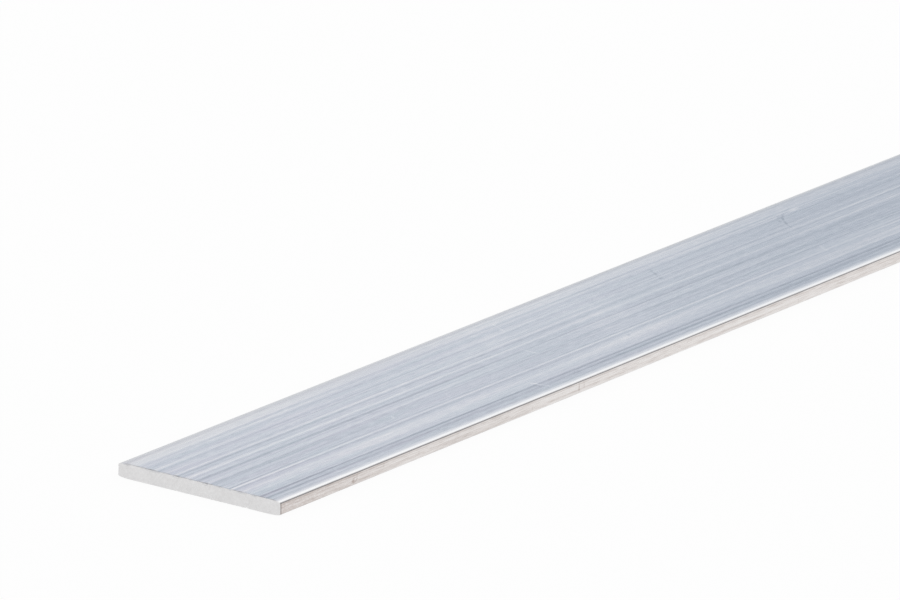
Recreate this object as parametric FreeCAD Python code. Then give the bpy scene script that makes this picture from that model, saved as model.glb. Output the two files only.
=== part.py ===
"""Aluminium flat bar, 40 x 3 mm, in the stock length of one metre.

The bar is one piece: extruded through a flat die, stretched straight and sawn
square to length. It lies on its broad face. X runs along the bar, Y across it
and Z up, with the origin in the middle of the underside.
"""
import math
import os

import FreeCAD
import Part

# Driving dimensions, in millimetres and degrees
bar_length = 1000.0
bar_width = 40.0
bar_thickness = 3.0
corner_radius = 0.3     # round that the die leaves on each long edge
roll_off_width = 2.8    # strip beside each long edge where the broad face falls away
roll_off_slope = 10.0   # how far that strip has tilted where the corner round begins


def turned(centre, radius, angle):
    """The point at that radius from centre, turned by angle from up towards the side."""
    return centre[0] + radius * math.sin(angle), centre[1] + radius * math.cos(angle)


def long_edge(side, face):
    """Five points round one long edge, from the broad face to the narrow one.

    Two tangent arcs join there: the shallow roll-off, then the corner round. The
    points are the start of the first arc, its middle, the join, the middle of the
    second arc and its end. side is +1 or -1 for the left or right edge of the bar,
    and face is +1 or -1 for its top or its underside.
    """
    slope = math.radians(roll_off_slope)
    upright = math.pi / 2
    roll_off_run = roll_off_width - corner_radius * (1 - math.sin(slope))
    roll_off_radius = roll_off_run / math.sin(slope)

    flat_end = (bar_width / 2 - roll_off_width, bar_thickness / 2)
    roll_off_centre = (flat_end[0], flat_end[1] - roll_off_radius)
    join = turned(roll_off_centre, roll_off_radius, slope)
    corner_centre = turned(join, -corner_radius, slope)

    outline = [
        flat_end,
        turned(roll_off_centre, roll_off_radius, slope / 2),
        join,
        turned(corner_centre, corner_radius, (slope + upright) / 2),
        turned(corner_centre, corner_radius, upright),
    ]
    start_x = -bar_length / 2
    middle_z = bar_thickness / 2
    return [FreeCAD.Vector(start_x, side * y, middle_z + face * z) for y, z in outline]


def section():
    """The bar's closed outline: four long edges, joined by two broad and two narrow faces."""
    corners = [
        long_edge(+1, +1),
        long_edge(+1, -1)[::-1],
        long_edge(-1, -1),
        long_edge(-1, +1)[::-1],
    ]
    following = corners[1:] + corners[:1]
    edges = []
    for corner, next_corner in zip(corners, following):
        start, first_middle, join, second_middle, end = corner
        edges.append(Part.Arc(start, first_middle, join).toShape())
        edges.append(Part.Arc(join, second_middle, end).toShape())
        edges.append(Part.LineSegment(end, next_corner[0]).toShape())
    return Part.Face(Part.Wire(edges))


def flat_bar():
    """The section drawn out along the bar, with a square saw cut at each end."""
    return section().extrude(FreeCAD.Vector(bar_length, 0, 0))


os.makedirs("parts", exist_ok=True)
bar = flat_bar()
bar.exportStep("parts/flat_bar.step")
print("flat_bar", "volume", round(bar.Volume, 1), "mm3, valid", bar.isValid(), bar.BoundBox)
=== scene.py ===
"""The looks of an extruded aluminium flat bar, lying on a pale floor.

Lengths are in metres, in the part's own frame: X along the bar, Y across it and Z up.
The near end is the sawn one at the low end of X, and the front is the narrow face at
the low side of Y.
"""
import math

import bpy
import numpy as np
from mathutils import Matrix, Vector


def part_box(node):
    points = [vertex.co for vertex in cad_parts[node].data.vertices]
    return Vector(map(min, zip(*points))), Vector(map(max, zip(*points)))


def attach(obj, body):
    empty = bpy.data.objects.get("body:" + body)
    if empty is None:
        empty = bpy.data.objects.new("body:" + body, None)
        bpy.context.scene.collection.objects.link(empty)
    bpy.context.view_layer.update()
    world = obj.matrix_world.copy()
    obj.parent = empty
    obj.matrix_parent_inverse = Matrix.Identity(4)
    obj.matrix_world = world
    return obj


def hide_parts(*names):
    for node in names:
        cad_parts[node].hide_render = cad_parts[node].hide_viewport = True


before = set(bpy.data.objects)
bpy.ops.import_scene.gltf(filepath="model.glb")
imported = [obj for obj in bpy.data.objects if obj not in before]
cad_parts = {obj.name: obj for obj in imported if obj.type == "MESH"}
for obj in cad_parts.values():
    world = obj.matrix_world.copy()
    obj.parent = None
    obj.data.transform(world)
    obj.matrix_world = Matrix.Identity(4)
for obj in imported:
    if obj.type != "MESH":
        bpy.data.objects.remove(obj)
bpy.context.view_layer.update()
mm = 0.001

# The bar's outer sizes come from its solid, and its edges are as in the solid
low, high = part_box("flat_bar")
bar_length = high.x - low.x
bar_width = high.y - low.y
bar_thickness = high.z - low.z
middle_height = (low.z + high.z) / 2
corner_radius = 0.3 * mm
roll_off_width = 2.8 * mm
roll_off_slope = math.radians(10.0)

# The camera, worked out from the bar's edges in the photograph
camera_azimuth = math.radians(-52.53)
camera_elevation = math.radians(17.52)
camera_distance = 2.3
camera_lens = 476.9         # millimetres
sensor_width = 36.0         # millimetres
aim_right = 48.45 * mm      # from the near end's top middle to the middle of the picture
aim_up = 35.08 * mm

# Steps between the points of the section's outline
across_pitch = 0.125 * mm   # on the broad faces
roll_off_steps = 12
half_round_steps = 8        # from a broad or narrow face to the middle of a corner round
narrow_steps = 9            # from a corner round to the middle of the narrow face
broad_steps = round((bar_width / 2 - roll_off_width) / across_pitch)
half_top = broad_steps + roll_off_steps + half_round_steps
half_side = narrow_steps + half_round_steps

# Rings along the bar, close together near its ends
ring_places = np.array([0, 0.05, 0.12, 0.21, 0.32, 0.46, 0.65, 0.9, 1.3, 2.0, 3.5, 6.0]) * mm
rings_between = 84

# Long marks that the die leaves: the place across the face and the half width, both in
# millimetres, and the tone, which is below 0 for a dark line
top_lines = [
    (18.35, 0.35, -0.5),
    (17.25, 0.50, 1.8),
    (16.5, 0.35, 0.3),
    (15.8, 0.50, 1.5),
    (15.5, 3.50, 0.2),
    (14.85, 0.30, -0.9),
    (14.1, 0.35, 1.0),
    (12.8, 0.60, -0.3),
    (10.95, 0.40, 1.0),
    (9.95, 0.30, -1.4),
    (8.25, 0.40, 0.35),
    (7.4, 0.30, -0.3),
    (6.2, 0.40, 1.7),
    (5.25, 0.35, -0.8),
    (4.2, 0.50, -0.35),
    (3.0, 0.45, 1.8),
    (2.0, 0.30, -0.4),
    (0.6, 0.45, -1.5),
    (-1.7, 0.50, 0.45),
    (-2.75, 0.35, -0.8),
    (-3.4, 0.40, -1.1),
    (-4.2, 0.35, -0.4),
    (-4.85, 0.30, -1.1),
    (-7.2, 0.22, -1.1),
    (-7.85, 0.22, 2.0),
    (-8.6, 0.25, -1.5),
    (-10.6, 0.55, 1.1),
    (-12.05, 0.80, 0.9),
    (-13.7, 0.30, -0.3),
    (-15.05, 0.36, -3.0),
    (-15.8, 0.30, -0.5),
    (-16.5, 0.42, -2.1),
    (-17.15, 0.35, -0.5),
    (-17.9, 0.40, -1.0),
]
front_lines = [
    # A dark line just under the top edge, partly a painted dark reflection
    (0.75, 0.2, -1.2),
    (0.3, 0.12, -0.5),
    (-0.1, 0.25, 0.4),
    (-0.6, 0.2, -0.5),
]
die_line_height = 0.006 * mm   # of a line of tone 1

# Finer lines at random places of each face: how many, how far from its middle, the range of
# their half widths and that of their tones, which are as often below 0 as above it
top_scatter = (70, 19.5, (0.1, 0.3), (0.1, 0.35))
under_scatter = (60, 19.5, (0.2, 1.2), (0.2, 1.0))
front_scatter = (8, 0.8, (0.06, 0.2), (0.2, 0.5))
back_scatter = (9, 0.8, (0.06, 0.2), (0.2, 0.8))
scatter_seed = 40

# Away from the sawn ends, up to this reach, the lines fade, while broad bands of the top grow
# darker or paler in a painted falloff of sheen along the bar: a band's tone is what it has
# gained there. The warm strip, a painted warm sheen, fades too
trend_reach = 200 * mm
top_sheen_falloff = [
    (15.5, 3.5, -0.1),
    (-11.3, 2.4, 0.75),
]
warm_sheen_strip = (17.9, 2.6, 1.0)

# How bright or dark the long edges are, by the heading in degrees from a broad face: towards 1
# for a painted highlight on the die's polish, and towards -1 for a band of painted dark
# reflection that is partly a real line
edge_highlight_tones = [
    (3.8, 0.0),
    (6.8, 0.3),
    (8.5, 1.0),
    (10.5, 1.0),
    (22, -0.2),
    (60, -0.95),
    (82, -0.9),
    (90, 0.0),
]
# The back edges get less of the painted highlight and of the painted dark band
back_highlight_share = 0.6   # how much of that the back edges have

# Scratches on the broad face: the place along from the near end and across, the heading
# from lengthwise in degrees, the half length and the half width in millimetres, and the tone
top_scratches = [
    # A hook of two arcs, with a pale spot beside it
    (209.9, 13.25, 31, 1.9, 0.50, -1.9),
    (207.9, 11.7, 44, 1.9, 0.45, -2.5),
    (206.0, 9.5, 53, 2.3, 0.40, -2.3),
    (204.5, 7.3, 60, 1.3, 0.40, -1.3),
    (208.3, 13.1, 34, 1.5, 0.45, -1.9),
    (206.2, 11.3, 50, 1.5, 0.45, -1.7),
    (214.6, 13.85, 0, 2.4, 0.80, 2.3),
    # A dark one in three strokes
    (162.8, 12.2, 56, 1.4, 0.50, -1.3),
    (161.4, 10.1, 56, 2.4, 0.45, -1.7),
    (159.6, 7.2, 60, 1.1, 0.70, -1.5),
    # A pale bent one, with a dark stroke in it that is its painted shadow
    (88.6, -14.7, 106, 1.9, 0.35, 3.6),
    (89.1, -17.0, 100, 1.3, 0.30, 2.0),
    (87.7, -15.9, 106, 1.5, 0.35, -1.6),
    # Single strokes, short and long
    (54.6, -5.1, 62, 1.3, 0.35, 2.0),
    (53.8, -17.2, 60, 0.5, 0.40, -1.6),
    (21.9, -16.6, 60, 1.4, 0.30, 1.0),
    (125.2, -10.2, 60, 0.8, 0.50, -1.8),
    (104.6, -1.0, 87, 3.4, 0.40, 1.7),
    (112.5, 12.1, 66, 1.6, 0.40, 1.8),
    (114.1, 15.3, 70, 1.2, 0.35, 1.8),
    (72.5, -4.6, 56, 2.4, 0.25, 0.8),
    (196.6, -6.8, 58, 3.4, 0.35, 1.0),
    (131.0, 3.6, -12, 5.0, 0.15, 1.0),
    (118.0, -1.9, 14, 6.0, 0.14, 0.9),
    (41.0, 8.4, 9, 4.0, 0.14, 1.0),
    (247.0, -2.8, -9, 5.0, 0.15, -1.0),
    # Broad pale patches, faint all over
    (105.8, 9.7, 62, 8.0, 4.0, 0.55),
    (99.8, 12.1, 58, 5.0, 1.6, 0.40),
    (134.5, 3.2, 88, 19.0, 11.0, 0.45),
    (125.7, -5.8, 80, 12.0, 5.0, 0.40),
]

# Marks on the front narrow face: the place along from the near end and up from the middle,
# the heading from lengthwise, the half length, the half width and the tone
front_scratches = [
    # A round mark: a dark ring, pale inside, with a dark stroke above it
    (23.2, -0.20, 10, 1.10, 0.62, -7.0),
    (23.3, -0.18, 10, 0.72, 0.42, 8.0),
    (24.0, 0.45, 40, 0.35, 0.18, -2.6),
    # Strokes, most of them upright
    (32.4, 0.3, 90, 0.9, 0.12, -1.4),
    (33.0, 0.3, 90, 0.8, 0.10, 0.8),
    (43.6, 0.1, 90, 0.4, 0.20, -2.0),
    (70.9, 0.2, 90, 0.6, 0.14, 1.0),
    (80.2, -0.1, 90, 0.9, 0.16, -1.0),
    (95.6, 0.0, 88, 1.2, 0.26, -3.0),
    (97.2, 0.0, 92, 1.1, 0.18, -1.6),
    (133.1, 0.3, 35, 0.6, 0.14, -1.4),
    (169.7, -0.3, 90, 0.7, 0.16, -1.2),
]
mark_depth = 1 * mm   # how far off its own face a scratch is felt

# The saw, which came down on the bar from beyond its back edge
saw_radius = 125 * mm
saw_place = 103 * mm   # of the blade's axle across, from the middle of the bar
saw_pitches = (1.7 * mm, 4.3 * mm)
saw_depth = 0.0015 * mm

# The nicks in the rims that the saw leaves. The small ones are at random places
small_nicks = 22                        # in each rim
small_nick_half_widths = (0.12, 0.60)   # millimetres
small_nick_roots = (0.10, 0.38)         # square roots of their depths in millimetres
nick_room = 2.0 * mm     # how far along the bar the rings make room for a nick
nick_fall = 0.30 * mm    # how far along the skin a nick is felt
nick_spread = 0.15 * mm  # how far into the sawn end a nick is felt
nick_sink = 0.5          # how far the skin sinks beside a nick, as a share of the nick's depth
# A nick's darkness is a painted shadow in it
nick_shadow_depth = 0.2 * mm     # the depth at which a nick is quite dark

# The larger nicks in the near end's top rim: the place across, the half width and the depth,
# in millimetres
near_nicks = [
    (17.8, 0.7, 0.10),
    (12.3, 0.9, 0.13),
    (11.0, 0.6, 0.12),
    (5.6, 0.7, 0.20),
    (-1.6, 0.5, 0.24),
    (-5.0, 0.9, 0.05),
    (-10.5, 1.1, 0.06),
]

# The map: the skin lies above, and the two ends side by side in a strip below it
map_margin = 0.01
map_ends_top = 0.10
map_skin_bottom = 0.12

sharp_edge = math.radians(35)   # a bend from which an edge isn't shaded as if it were round
floor_size = 120.0              # metres, and square
floor_gap = 0.02 * mm           # the floor stays clear of the underside's die lines


# The camera

def camera():
    """The camera, aimed past the near end so that the bar runs off the picture's edge."""
    back = Vector((math.sin(camera_azimuth) * math.cos(camera_elevation),
                   -math.cos(camera_azimuth) * math.cos(camera_elevation),
                   math.sin(camera_elevation)))
    right = Vector((math.cos(camera_azimuth), math.sin(camera_azimuth), 0.0))
    near_top = Vector((low.x, (low.y + high.y) / 2, high.z))
    aim = near_top + right * aim_right + back.cross(right) * aim_up
    made = bpy.data.objects.new("camera", bpy.data.cameras.new("camera"))
    made.data.lens = camera_lens
    made.data.sensor_width = sensor_width
    made.data.clip_end = 200.0
    made.location = aim + back * camera_distance
    made.rotation_mode = "QUATERNION"
    made.rotation_quaternion = (-back).to_track_quat("-Z", "Y")
    bpy.context.scene.collection.objects.link(made)
    bpy.context.scene.camera = made


# The section

def quarter_section():
    """A quarter of the outline, from the middle of the broad face to that of the narrow one.

    The walk has four stretches: flat, roll-off, corner round and flat. Its heading below
    level turns steadily along the two arcs, and each step moves by its length times the
    cosine and the sine of the heading half way along it. Returns the points' places
    across and up, and the heading at each.
    """
    roll_off_run = roll_off_width - corner_radius * (1 - math.sin(roll_off_slope))
    roll_off_radius = roll_off_run / math.sin(roll_off_slope)
    fall = roll_off_radius * (1 - math.cos(roll_off_slope))
    narrow = bar_thickness / 2 - fall - corner_radius * math.cos(roll_off_slope)
    upright = math.pi / 2
    stretches = [
        (bar_width / 2 - roll_off_width, broad_steps, 0.0, 0.0),
        (roll_off_radius * roll_off_slope, roll_off_steps, 0.0, roll_off_slope),
        (corner_radius * (upright - roll_off_slope), 2 * half_round_steps, roll_off_slope, upright),
        (narrow, narrow_steps, upright, upright),
    ]
    step = np.concatenate([np.full(count, length / count) for length, count, _, _ in stretches])
    heading = [np.linspace(start, end, count, endpoint=False) for _, count, start, end in stretches]
    heading = np.concatenate([*heading, [upright]])
    half_way = (heading[1:] + heading[:-1]) / 2
    across = np.concatenate([[0], np.cumsum(step * np.cos(half_way))])
    down = np.concatenate([[0], np.cumsum(step * np.sin(half_way))])
    return across, bar_thickness / 2 - down, heading


def section_loop():
    """The whole outline: its points, across and up, and their outward normals.

    Four quarters, each the mirror image of the one before, follow each other. The loop
    starts in the middle of the front top corner and runs over the top, down the back,
    under the bar and up the front.
    """
    across, up, heading = quarter_section()
    quarter = np.stack([across, up, np.sin(heading), np.cos(heading)], axis=1)
    under = np.array([1, -1, 1, -1])
    front = np.array([-1, 1, -1, 1])
    loop = np.concatenate([
        quarter[:-1],
        (quarter * under)[:0:-1],
        (quarter * under * front)[:-1],
        (quarter * front)[:0:-1],
    ])
    loop = np.roll(loop, half_top, axis=0)
    return loop[:, :2], loop[:, 2:]


# The marks of the die

def lines_across(place, lines):
    """The sum of the lines' bells at each place: tone times exp(-(offset / half width) squared)."""
    middle, half_width, tone = np.array(lines).T
    offset = (place[:, None] / mm - middle) / half_width
    return (tone * np.exp(-offset ** 2)).sum(axis=1)


def scattered_lines(draws, count, reach, half_widths, tones):
    """That many lines at random places, within reach of the middle in millimetres."""
    return np.stack([
        draws.uniform(-reach, reach, count),
        draws.uniform(*half_widths, count),
        draws.choice([-1, 1], count) * draws.uniform(*tones, count),
    ], axis=1).tolist()


def face_share(facing):
    """A face's share of a point, growing evenly from none to all as facing goes from 0.9 to 1.

    Facing is how squarely the point looks the way that the face does: 1 on the flat, and
    below 0.9 on most of a corner round.
    """
    return np.clip(10 * facing - 9, 0, 1)


def die_tone(points, outward):
    """How pale or dark the die left each point of the outline, by the lines of the four faces."""
    draws = np.random.default_rng(scatter_seed)
    top = top_lines + scattered_lines(draws, *top_scatter)
    under = scattered_lines(draws, *under_scatter)
    front = front_lines + scattered_lines(draws, *front_scatter)
    back = scattered_lines(draws, *back_scatter)
    across, up = points.T
    sideways, upwards = outward.T
    faces = [
        (upwards, across, top),
        (-upwards, across, under),
        (-sideways, up, front),
        (sideways, up, back),
    ]
    return sum(face_share(facing) * lines_across(place, lines) for facing, place, lines in faces)


def on_top(points, outward, lines):
    """The sum of the lines' bells on the broad face that looks up."""
    return face_share(outward[:, 1]) * lines_across(points[:, 0], lines)


def edge_highlight_tone(outward):
    """The painted highlight and dark reflection of the edges at each point, by straight lines
    between the tones of its heading.

    The back edges get less of both, and those of the underside have no dark band.
    """
    heading = np.degrees(np.arctan2(*np.abs(outward).T))
    tone = np.interp(heading, *np.array(edge_highlight_tones).T)
    tone = np.where(outward[:, 0] > 0, back_highlight_share * tone, tone)
    return np.where(outward[:, 1] > 0, tone, np.maximum(tone, 0))


# The marks of the saw

def saw_arc(across, up):
    """Which arc of the blade's edge each point lies on, as how far down the axle had come.

    The blade went down with its axle in one place across, so the edge passed a point when
    the axle was higher than it by the root of radius squared minus distance across squared.
    """
    return up + np.sqrt(saw_radius ** 2 - (across - saw_place) ** 2)


def saw_marks(across, up, end):
    """How deep the saw cut at each point: a sum of sines of the arc that it lies on."""
    starts = np.random.default_rng([end, 1]).random(len(saw_pitches))
    return sum(saw_depth * (1 + np.sin(2 * math.pi * (saw_arc(across, up) / pitch + start)))
               for pitch, start in zip(saw_pitches, starts))


def rim_nicks(points, outward, walk, end):
    """How far back the nicks cut the rim at each place round it: a sum of bells.

    Small ones lie at random places of the walk round the rim. The larger ones of the near
    end lie at their places across, on the broad face that looks up.
    """
    draws = np.random.default_rng([end, 2])
    length = walk[-1]
    middle = draws.uniform(0, length, small_nicks)
    half_width = draws.uniform(*small_nick_half_widths, small_nicks) * mm
    depth = draws.uniform(*small_nick_roots, small_nicks) ** 2 * mm
    offset = np.abs(walk[:-1, None] - middle)
    offset = np.minimum(offset, length - offset)
    torn_back = (depth * np.exp(-(offset / half_width) ** 2)).sum(axis=1)
    if end == 0:
        torn_back += (outward[:, 1] > 0.5) * lines_across(points[:, 0], near_nicks) * mm
    return torn_back


# The bar's surface

def bar_skin(points, outward, walk):
    """The section carried along the bar, ring by ring.

    A point is the section's point, moved out by its die line's height. Near each end it
    is pushed along the bar by the saw's marks and the rim's nicks, less and less until
    the nicks' room ends, and beside a nick it falls inwards by a bell of the distance
    from the end. Returns the places by ring and by point of the section, and how dark
    the painted shadow beside a nick is at each of them.
    """
    between = np.linspace(ring_places[-1], bar_length - ring_places[-1], rings_between + 2)[1:-1]
    from_near = np.concatenate([ring_places, between, bar_length - ring_places[::-1]])
    shape = len(from_near), len(points)
    out = np.broadcast_to(die_tone(points, outward) * die_line_height, shape).copy()
    along = np.broadcast_to(from_near[:, None], shape).copy()
    torn = np.zeros(shape)
    for end, distance in enumerate((from_near, bar_length - from_near)):
        nicks = rim_nicks(points, outward, walk, end)
        room = np.clip(1 - distance / nick_room, 0, 1)[:, None]
        beside = np.exp(-(distance / nick_fall) ** 2)[:, None] * nicks
        along += (1 - 2 * end) * room * (nicks + saw_marks(*points.T, end))
        out -= nick_sink * beside
        # How dark the painted shadow beside each nick is
        torn += beside / nick_shadow_depth
    places = np.stack([
        low.x + along,
        points[:, 0] + out * outward[:, 0],
        middle_height + points[:, 1] + out * outward[:, 1],
    ], axis=-1)
    return places, torn


def end_numbers(first_of_ring, first_inside):
    """The vertex numbers of a sawn end's grid: rows from the top down, each from front to back.

    The grid's four sides are vertices of the end's ring, and what they enclose is new.
    """
    rows, columns = 2 * half_side + 1, 2 * half_top + 1
    rim = 2 * (rows + columns) - 4
    down, over = np.arange(rows), np.arange(columns)
    inside = np.arange((rows - 2) * (columns - 2)).reshape(rows - 2, columns - 2)
    numbers = np.empty((rows, columns), int)
    numbers[1:-1, 1:-1] = first_inside + inside
    numbers[0] = first_of_ring + over
    numbers[:, -1] = first_of_ring + columns - 1 + down
    numbers[-1] = first_of_ring + columns + rows - 2 + over[::-1]
    numbers[:, 0] = first_of_ring + (2 * columns + rows - 3 + down[::-1]) % rim
    return numbers


def end_inside(top, bottom, front, back, end):
    """The places inside a sawn end, from those of its four sides.

    Across and up, a point is what the two pairs of sides give by straight lines between
    them, less what the corners give. Along the bar it is where the saw's marks put it,
    and each side's nicks die away inwards as a bell of the distance from that side.
    """
    u = np.linspace(0, 1, len(top))[None, :, None]
    v = np.linspace(0, 1, len(front))[:, None, None]
    corners = (1 - v) * ((1 - u) * top[0] + u * top[-1]) + v * ((1 - u) * bottom[0] + u * bottom[-1])
    places = (1 - v) * top + v * bottom + (1 - u) * front[:, None] + u * back[:, None] - corners
    inwards = 1 - 2 * end
    plane = (low.x, high.x)[end]
    depth = saw_marks(places[..., 1], places[..., 2] - middle_height, end)
    for side in (top[None], bottom[None], front[:, None], back[:, None]):
        nick = inwards * (side[..., 0] - plane) - saw_marks(side[..., 1], side[..., 2] - middle_height, end)
        apart = np.hypot(*np.moveaxis(places - side, -1, 0)[1:])
        depth += nick * np.exp(-(apart / nick_spread) ** 2)
    places[..., 0] = plane + inwards * depth
    return places[1:-1, 1:-1].reshape(-1, 3)


def spread(share_of_way, start, end):
    """From start, where the share is 0, to end, where it is 1."""
    return start + (end - start) * share_of_way


def skin_faces(rings, rim):
    """The vertex numbers of the skin's faces, by ring and by point of the section.

    A face joins a point and the one that follows it round the section to the same two
    points of the next ring, in the order that makes it face outwards.
    """
    first = np.arange(rings - 1)[:, None] * rim
    point = np.arange(rim)
    following = (point + 1) % rim
    near, far = first + point, first + rim + point
    near_following, far_following = first + following, first + rim + following
    return np.stack([near, far, far_following, near_following], axis=-1)


def skin_map(vertices, skin, walk):
    """The map of the skin: a share of the bar's length to the right, and one of the walk upwards."""
    right = (vertices[skin, 0] - low.x) / bar_length
    upwards = np.stack([walk[:-1], walk[:-1], walk[1:], walk[1:]], axis=-1) / walk[-1]
    right = spread(right, map_margin, 1 - map_margin)
    upwards = np.broadcast_to(spread(upwards, map_skin_bottom, 1 - map_margin), right.shape)
    return np.stack([right, upwards], axis=-1).reshape(-1, 2)


def end_map(vertices, cells, end):
    """The map of a sawn end in its half of the strip: shares of the bar's width and thickness."""
    right = (vertices[cells, 1] - low.y) / bar_width
    upwards = (vertices[cells, 2] - low.z) / bar_thickness
    right = spread(right, map_margin, 0.5 - map_margin) + 0.5 * end
    upwards = spread(upwards, map_margin, map_ends_top)
    return np.stack([right, upwards], axis=-1).reshape(-1, 2)


def vertex_looks(points, outward, torn, vertices):
    """What the finishes look up, by name: a value at each vertex.

    Inside the sawn ends all but the saw's arc are 0, and round the rims they are the skin's.
    """
    looks = {
        "die_tone": die_tone(points, outward),
        "sideways": np.abs(outward[:, 0]),
        "edge_highlight_tone": edge_highlight_tone(outward),
        "sheen_falloff_tone": on_top(points, outward, top_sheen_falloff),
        "warm_sheen_strip": on_top(points, outward, [warm_sheen_strip]),
    }
    looks = {name: np.tile(values, len(torn)) for name, values in looks.items()}
    looks["torn"] = torn.ravel()
    looks = {name: np.pad(values, (0, len(vertices) - torn.size)) for name, values in looks.items()}
    looks["saw_arc"] = saw_arc(vertices[:, 1], vertices[:, 2] - middle_height)
    return looks


def bar_mesh():
    """The bar as one closed surface: the skin and the two sawn ends, with their looks and map.

    The walk is the way round the section to each point, from hop to hop. The far end's
    faces take their corners in the other order, so that both ends face outwards.
    """
    points, outward = section_loop()
    rim = len(points)
    hops = np.hypot(*(np.roll(points, -1, axis=0) - points).T)
    walk = np.concatenate([[0], np.cumsum(hops)])
    places, torn = bar_skin(points, outward, walk)
    rings = len(places)
    vertices = places.reshape(-1, 3)
    skin = skin_faces(rings, rim)
    faces = [skin.reshape(-1, 4)]
    maps = [skin_map(vertices, skin, walk)]
    for end in (0, 1):
        numbers = end_numbers(end * (rings - 1) * rim, len(vertices))
        sides = [vertices[side] for side in (numbers[0], numbers[-1], numbers[:, 0], numbers[:, -1])]
        vertices = np.concatenate([vertices, end_inside(*sides, end)])
        cells = np.stack([numbers[:-1, :-1], numbers[:-1, 1:], numbers[1:, 1:], numbers[1:, :-1]], axis=-1)
        cells = cells.reshape(-1, 4)[:, ::1 - 2 * end]
        faces.append(cells)
        maps.append(end_map(vertices, cells, end))

    mesh = bpy.data.meshes.new("extruded_bar")
    mesh.from_pydata(vertices.tolist(), [], np.concatenate(faces).tolist())
    mesh.polygons.foreach_set("use_smooth", np.ones(len(mesh.polygons), bool))
    mesh.polygons.foreach_set("material_index", np.repeat([0, 1], [len(faces[0]), len(faces[1]) * 2]))
    mesh.set_sharp_from_angle(angle=sharp_edge)
    places_on_map = np.concatenate(maps).astype(np.float32).ravel()
    mesh.uv_layers.new(name="OFBake").uv.foreach_set("vector", places_on_map)
    for name, values in vertex_looks(points, outward, torn, vertices).items():
        mesh.attributes.new(name, "FLOAT", "POINT").data.foreach_set("value", values.astype(np.float32))
    return mesh


# Nodes

def add(tree, kind, inputs=None, **settings):
    """A node with its settings and inputs. Returns its first output.

    An input's socket is joined to another node's socket, or set to a plain value.
    """
    made = tree.nodes.new("ShaderNode" + kind)
    for name, value in settings.items():
        setattr(made, name, value)
    for name, value in (inputs or {}).items():
        if isinstance(value, bpy.types.NodeSocket):
            tree.links.new(value, made.inputs[name])
        else:
            made.inputs[name].default_value = value
    return made.outputs[0]


def sum_of(tree, *values):
    """The values added together."""
    total = values[0]
    for value in values[1:]:
        total = add(tree, "Math", {0: total, 1: value}, operation="ADD")
    return total


def times(tree, value, factor):
    """The value times the factor."""
    return add(tree, "Math", {0: value, 1: factor}, operation="MULTIPLY")


def looked_up(tree, name):
    """One of the looks that the mesh holds at each point."""
    made = tree.nodes.new("ShaderNodeAttribute")
    made.attribute_name = name
    return made.outputs["Fac"]


def here(tree):
    """The place on the piece, in metres."""
    return tree.nodes.new("ShaderNodeTexCoord").outputs["Object"]


def share(tree, value, start, end):
    """How far the value is from start, where it gives 0, to end, where it gives 1, and no further."""
    return add(tree, "MapRange", {"Value": value, "From Min": start, "From Max": end})


def grain(tree, along, across, detail=2.0, turn=0.0, seed=0.0):
    """Noise around 0 whose grain has that size along and across the bar, in metres.

    A turn, in radians, slants it, and another seed gives another pattern of the same kind.
    """
    size = (1 / along, 1 / across, 1 / across)
    place = add(tree, "Mapping", {"Vector": here(tree), "Rotation": (0.0, 0.0, turn)})
    place = add(tree, "Mapping", {"Vector": place, "Location": (seed, seed, seed), "Scale": size})
    noise = add(tree, "TexNoise", {"Vector": place, "Scale": 1.0, "Detail": detail, "Roughness": 0.6})
    return add(tree, "Math", {0: noise, 1: 0.5}, operation="SUBTRACT")


def spot(tree, place, middle, turn, reach):
    """1 at the middle of a stretched and turned round, falling evenly to 0 at its reach."""
    local = add(tree, "Mapping", {"Vector": place, "Location": middle, "Rotation": turn, "Scale": reach},
                vector_type="TEXTURE")
    return add(tree, "TexGradient", {"Vector": local}, gradient_type="SPHERICAL")


def shaken_place(tree):
    """The place on the piece, moved by up to 0.3 mm of noise, so that a mark's outline is uneven."""
    noise = tree.nodes.new("ShaderNodeTexNoise")
    tree.links.new(here(tree), noise.inputs["Vector"])
    noise.inputs["Scale"].default_value = 1 / (1.5 * mm)
    move = add(tree, "VectorMath", {0: noise.outputs["Color"], 1: (0.5, 0.5, 0.5)}, operation="SUBTRACT")
    move = add(tree, "VectorMath", {0: move, 1: (0.6 * mm,) * 3}, operation="MULTIPLY")
    return add(tree, "VectorMath", {0: here(tree), 1: move}, operation="ADD")


def scratches(tree):
    """The tone of all the single scratches together, each a spot on its own face."""
    place = shaken_place(tree)
    tones = []
    for along, across, heading, half_length, half_width, tone in top_scratches:
        middle = (low.x + along * mm, across * mm, high.z)
        reach = (half_length * mm, half_width * mm, mark_depth)
        mark = spot(tree, place, middle, (0.0, 0.0, math.radians(heading)), reach)
        tones.append(times(tree, mark, tone))
    for along, up, heading, half_length, half_width, tone in front_scratches:
        middle = (low.x + along * mm, low.y, middle_height + up * mm)
        reach = (half_length * mm, mark_depth, half_width * mm)
        mark = spot(tree, place, middle, (0.0, -math.radians(heading), 0.0), reach)
        tones.append(times(tree, mark, tone))
    return sum_of(tree, *tones)


def ramp(tree, share_of_way, stops):
    """A colour by its share from 0 to 1, between stops of (share, colour)."""
    made = tree.nodes.new("ShaderNodeValToRGB")
    elements = made.color_ramp.elements
    elements[0].position, elements[0].color = stops[0][0], (*stops[0][1], 1)
    elements[1].position, elements[1].color = stops[-1][0], (*stops[-1][1], 1)
    for position, colour in stops[1:-1]:
        elements.new(position).color = (*colour, 1)
    tree.links.new(share_of_way, made.inputs["Fac"])
    return made.outputs["Color"]


def mixed(tree, share_of_second, first, second):
    """The first colour where the share is 0, and the second where it is 1.

    Sockets go by number here, because the node has some of each name for every kind of data.
    """
    made = tree.nodes.new("ShaderNodeMix")
    made.data_type = "RGBA"
    for number, value in ((0, share_of_second), (6, first), (7, second)):
        if isinstance(value, bpy.types.NodeSocket):
            tree.links.new(value, made.inputs[number])
        else:
            made.inputs[number].default_value = value
    return made.outputs[2]


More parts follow.
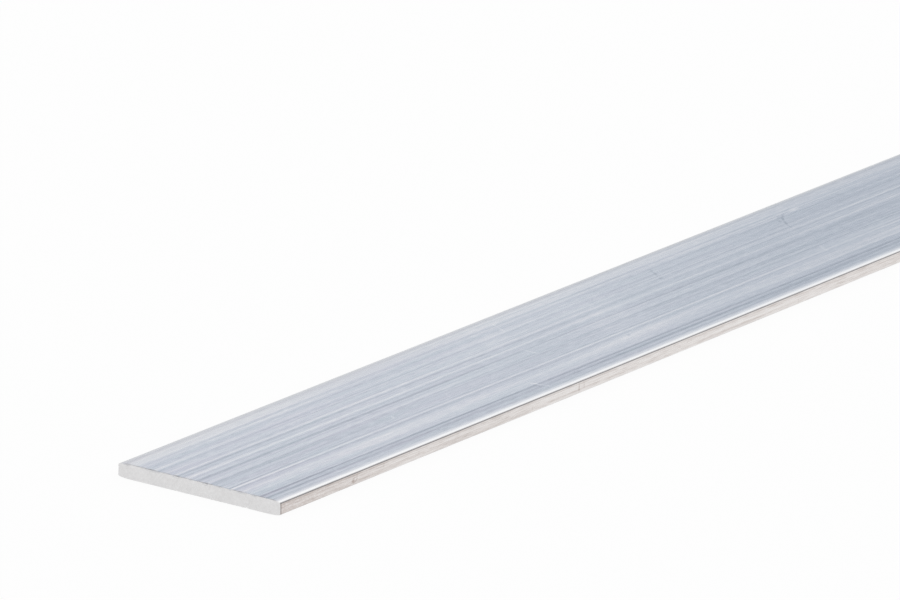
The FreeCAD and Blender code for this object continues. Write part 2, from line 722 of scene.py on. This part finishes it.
def from_end(tree, reach):
    """1 at either sawn end, falling evenly to 0 at that reach from it."""
    apart = tree.nodes.new("ShaderNodeSeparateXYZ")
    tree.links.new(here(tree), apart.inputs[0])
    out = add(tree, "Math", {0: apart.outputs["X"]}, operation="ABSOLUTE")
    return share(tree, out, bar_length / 2 - reach, bar_length / 2)


def new_metal(name):
    """A material with one metal shader. Returns it, its tree and its shader."""
    material = bpy.data.materials.new(name)
    material.use_nodes = True
    shader = material.node_tree.nodes["Principled BSDF"]
    shader.inputs["Metallic"].default_value = 1.0
    return material, material.node_tree, shader


# Finishes

# Colours of the skin by its level, from its darkest tone at 0 to its palest at 1. The broad
# faces' cool and lilac tints and the narrow faces' warmth are partly painted reflections of
# the surroundings, on one metal
metal_and_cool_reflection = [
    (0.0, (0.335, 0.385, 0.445)),
    (0.5, (0.59, 0.635, 0.697)),
    (0.7, (0.695, 0.722, 0.765)),
    (1.0, (0.85, 0.85, 0.865)),
]
metal_and_lilac_reflection = [
    (0.0, (0.36, 0.37, 0.44)),
    (0.5, (0.61, 0.62, 0.70)),
    (0.7, (0.71, 0.71, 0.76)),
    (1.0, (0.86, 0.85, 0.865)),
]
# Warmer than the broad faces partly by a painted reflection of the pale floor
narrow_face_metal_and_warm_reflection = [
    (0.0, (0.46, 0.40, 0.37)),
    (0.5, (0.768, 0.733, 0.715)),
    (1.0, (0.90, 0.89, 0.88)),
]
sawn_metal = [
    (0.0, (0.71, 0.70, 0.70)),
    (1.0, (0.86, 0.855, 0.855)),
]

# Colours that the skin takes in places
# A painted warm sheen
warm_sheen = (0.77, 0.755, 0.75, 1)
stained_metal = (0.46, 0.38, 0.35, 1)
# Painted shade at the rims of the sawn ends
rim_shade = (0.30, 0.25, 0.23, 1)
burr_metal = (0.36, 0.34, 0.33, 1)
# A painted highlight on the polished edges
painted_highlight = (0.98, 0.98, 0.98, 1)
# A painted dark reflection along the edges, partly a real line
dark_line_and_reflection = (0.28, 0.265, 0.26, 1)
# The painted shadow in the nicks
torn_metal = (0.25, 0.25, 0.26, 1)


def skin_tone(tree, sideways, away, fine, middling):
    """How pale or dark the skin is: its die lines, the painted falloff of sheen, grain, hairlines
    and scratches.

    Broad grain makes the lines uneven along the bar, and they fade away from the ends,
    where the painted falloff grows. Hairlines at two slants cross the broad faces alone.
    """
    broad = grain(tree, 60 * mm, 4 * mm)
    short = grain(tree, 3 * mm, 0.3 * mm, detail=4.0, seed=17.0)
    uneven = add(tree, "Math", {0: broad, 1: 1.6, 2: 1.0}, operation="MULTIPLY_ADD")
    fading = add(tree, "Math", {0: away, 1: -0.45, 2: 1.15}, operation="MULTIPLY_ADD")
    lines = times(tree, times(tree, looked_up(tree, "die_tone"), uneven), fading)
    # Broad bands of the top paler or darker away from the ends: a painted falloff of sheen
    sheen_falloff = times(tree, looked_up(tree, "sheen_falloff_tone"), away)
    rising = share(tree, grain(tree, 9 * mm, 0.10 * mm, detail=0.0, turn=0.16, seed=3.0), 0.20, 0.34)
    falling = share(tree, grain(tree, 7 * mm, 0.10 * mm, detail=0.0, turn=-0.22, seed=7.0), 0.20, 0.34)
    hairlines = sum_of(tree, times(tree, rising, 0.5), times(tree, falling, -0.4))
    hairlines = times(tree, hairlines, share(tree, sideways, 1.0, 0.0))
    return sum_of(tree, lines, sheen_falloff, times(tree, fine, 3.4), times(tree, middling, 3.0),
                  times(tree, broad, 1.2), times(tree, short, 5.0), hairlines, scratches(tree))


def broad_face_colour(tree, level, away):
    """The broad faces: cool metal, lilac in long patches, and warm in the top's back strip.

    The cool and lilac tints are partly painted reflections, and the warm strip is a painted
    sheen. The lilac and the warm sheen both fade away from the ends.
    """
    hue = share(tree, grain(tree, 25 * mm, 1.2 * mm, seed=11.0), -0.15, 0.15)
    hue = times(tree, hue, share(tree, away, 1.3, 0.0))
    colour = mixed(tree, hue, ramp(tree, level, metal_and_cool_reflection), ramp(tree, level, metal_and_lilac_reflection))
    # The painted warm sheen of the top's back strip
    warm_sheen_share = times(tree, looked_up(tree, "warm_sheen_strip"), share(tree, away, 1.25, 0.0))
    return mixed(tree, times(tree, warm_sheen_share, 0.4), colour, warm_sheen)


def narrow_face_colour(tree, level):
    """The narrow faces: warm partly by a painted reflection, stained near the sawn ends, and
    darkest right beside them in painted shade.
    """
    colour = ramp(tree, level, narrow_face_metal_and_warm_reflection)
    mottle = share(tree, grain(tree, 0.8 * mm, 0.35 * mm, detail=3.0), -0.21, 0.27)
    stain = times(tree, times(tree, mottle, 0.75), from_end(tree, 40 * mm))
    colour = mixed(tree, stain, colour, stained_metal)
    # Painted shade at the rims beside the sawn ends
    return mixed(tree, times(tree, from_end(tree, 0.6 * mm), 0.8), colour, rim_shade)


def mill_finish():
    """The skin as it leaves the die: pale and dark lines along the bar, and polished edges.

    Each face takes its colour by the tone. Over it come a ragged burr at the sawn ends,
    the bright strip of the long edges, a painted highlight on their polish, their dark band,
    a painted dark reflection that is partly a real line, and the nicks' painted shadow. The
    dark band is a little fainter away from the ends. Grain and tone also roughen the surface.
    """
    material, tree, shader = new_metal("mill_finish")
    link = tree.links.new
    sideways = looked_up(tree, "sideways")
    edge = looked_up(tree, "edge_highlight_tone")
    away = share(tree, from_end(tree, trend_reach), 1.0, 0.0)
    fine = grain(tree, 30 * mm, 0.22 * mm)
    middling = grain(tree, 90 * mm, 0.7 * mm)
    tone = skin_tone(tree, sideways, away, fine, middling)

    level = share(tree, tone, -3.0, 3.0)
    colour = mixed(tree, sideways, broad_face_colour(tree, level, away), narrow_face_colour(tree, level))
    ragged = share(tree, grain(tree, 5 * mm, 1.3 * mm, detail=3.0, seed=5.0), -0.2, 0.08)
    colour = mixed(tree, times(tree, ragged, from_end(tree, 0.55 * mm)), colour, burr_metal)
    # The long edges' painted highlight
    bright = share(tree, edge, 0.0, 1.0)
    colour = mixed(tree, bright, colour, painted_highlight)
    # Their painted dark reflection, partly a real line, fainter away from the ends
    dark = times(tree, share(tree, edge, 0.0, -1.0), share(tree, from_end(tree, 300 * mm), -3.0, 1.0))
    colour = mixed(tree, dark, colour, dark_line_and_reflection)
    # The nicks' painted shadow
    colour = mixed(tree, looked_up(tree, "torn"), colour, torn_metal)
    link(colour, shader.inputs["Base Color"])

    roughness = sum_of(tree, times(tree, middling, 0.12), times(tree, bright, -0.12), 0.28)
    link(roughness, shader.inputs["Roughness"])
    shader.inputs["Anisotropic"].default_value = 0.4
    shader.inputs["Anisotropic Rotation"].default_value = 0.25
    link(add(tree, "Tangent", direction_type="UV_MAP", uv_map="OFBake"), shader.inputs["Tangent"])
    height = sum_of(tree, fine, middling, times(tree, tone, 0.1))
    bump = add(tree, "Bump", {"Strength": 0.5, "Distance": 0.01 * mm, "Height": height})
    link(bump, shader.inputs["Normal"])
    return material


def sawn_finish():
    """The sawn ends: matt and pale, mottled, with a faint grain along the arcs of the blade's edge."""
    material, tree, shader = new_metal("sawn_finish")
    link = tree.links.new
    arcs = times(tree, looked_up(tree, "saw_arc"), 1 / (0.5 * mm))
    arcs = add(tree, "TexNoise", {"W": arcs, "Scale": 1.0, "Detail": 3.0}, noise_dimensions="1D")
    mottle = grain(tree, 0.6 * mm, 0.6 * mm, detail=3.0)
    broad = grain(tree, 4 * mm, 4 * mm, seed=9.0)
    tone = sum_of(tree, times(tree, arcs, 0.35), mottle, times(tree, broad, 0.5))
    link(ramp(tree, share(tree, tone, -0.3, 0.65), sawn_metal), shader.inputs["Base Color"])
    shader.inputs["Roughness"].default_value = 0.45
    bump = add(tree, "Bump", {"Strength": 0.6, "Distance": 0.01 * mm, "Height": tone})
    link(bump, shader.inputs["Normal"])
    return material


# The room

def pale_floor():
    """A plain white floor. Where it is seen, most of its white is even and the rest shows shade."""
    bpy.ops.mesh.primitive_plane_add(size=floor_size, location=(0, 0, low.z - floor_gap))
    floor = bpy.context.object
    floor.name = "floor"
    material = bpy.data.materials.new("pale_floor")
    material.use_nodes = True
    tree = material.node_tree
    tree.nodes.clear()
    path = tree.nodes.new("ShaderNodeLightPath")
    seen = path.outputs["Is Camera Ray"]
    for other in ("Is Glossy Ray", "Is Transmission Ray"):
        seen = add(tree, "Math", {0: seen, 1: path.outputs[other]}, operation="MAXIMUM")
    shaded = add(tree, "BsdfDiffuse", {"Color": (0.90, 0.895, 0.89, 1)})
    even = add(tree, "Emission", {"Color": (1, 1, 1, 1), "Strength": 1.0})
    surface = add(tree, "MixShader", {0: times(tree, seen, 0.94), 1: shaded, 2: even})
    output = tree.nodes.new("ShaderNodeOutputMaterial")
    tree.links.new(surface, output.inputs["Surface"])
    floor.data.materials.append(material)


def studio():
    """Soft light from all round, by its height: dim and cool walls under a bright ceiling.

    The ceiling is white where it meets the walls, which the front edge's bright strip mirrors.
    """
    world = bpy.data.worlds.new("studio")
    bpy.context.scene.world = world
    world.use_nodes = True
    tree = world.node_tree
    direction = tree.nodes.new("ShaderNodeTexCoord").outputs["Generated"]
    height = tree.nodes.new("ShaderNodeSeparateXYZ")
    tree.links.new(direction, height.inputs[0])
    colour = ramp(tree, height.outputs["Z"], [
        (0.0, (0.90, 0.90, 0.90)),
        (0.04, (0.80, 0.80, 0.81)),
        (0.12, (0.61, 0.62, 0.64)),
        (0.32, (0.615, 0.655, 0.721)),
        (0.38, (0.674, 0.714, 0.774)),
        (0.45, (0.88, 0.89, 0.91)),
        (0.48, (1.00, 1.00, 1.00)),
        (0.56, (1.00, 1.00, 1.00)),
        (0.66, (0.92, 0.92, 0.92)),
    ])
    tree.links.new(colour, tree.nodes["Background"].inputs["Color"])


def softbox(name, toward, distance, size, radiance, colour):
    """A square lamp that faces the near end, from that direction and distance.

    Its power is its radiance times pi times its area.
    """
    lamp = bpy.data.lights.new(name, "AREA")
    lamp.color = colour
    lamp.shape = "SQUARE"
    lamp.size = size
    lamp.energy = radiance * math.pi * size ** 2
    made = bpy.data.objects.new(name, lamp)
    toward = Vector(toward).normalized()
    made.location = Vector((low.x, 0, high.z)) + toward * distance
    made.rotation_mode = "QUATERNION"
    made.rotation_quaternion = toward.to_track_quat("Z", "Y")
    made.visible_camera = False
    bpy.context.scene.collection.objects.link(made)


# The scene

camera()
bar = bpy.data.objects.new("extruded_bar", bar_mesh())
bpy.context.scene.collection.objects.link(bar)
bar.data.materials.append(mill_finish())
bar.data.materials.append(sawn_finish())
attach(bar, "root")
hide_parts("flat_bar")
pale_floor()
studio()
softbox("edge_softbox", toward=(0.73, -0.053, 0.68), distance=1.1, size=0.47,
        radiance=0.33, colour=(1, 1, 1))
softbox("back_softbox", toward=(0.742, 0.596, 0.308), distance=1.2, size=0.3,
        radiance=0.24, colour=(1, 0.94, 0.82))
bpy.context.scene.view_settings.view_transform = "Standard"
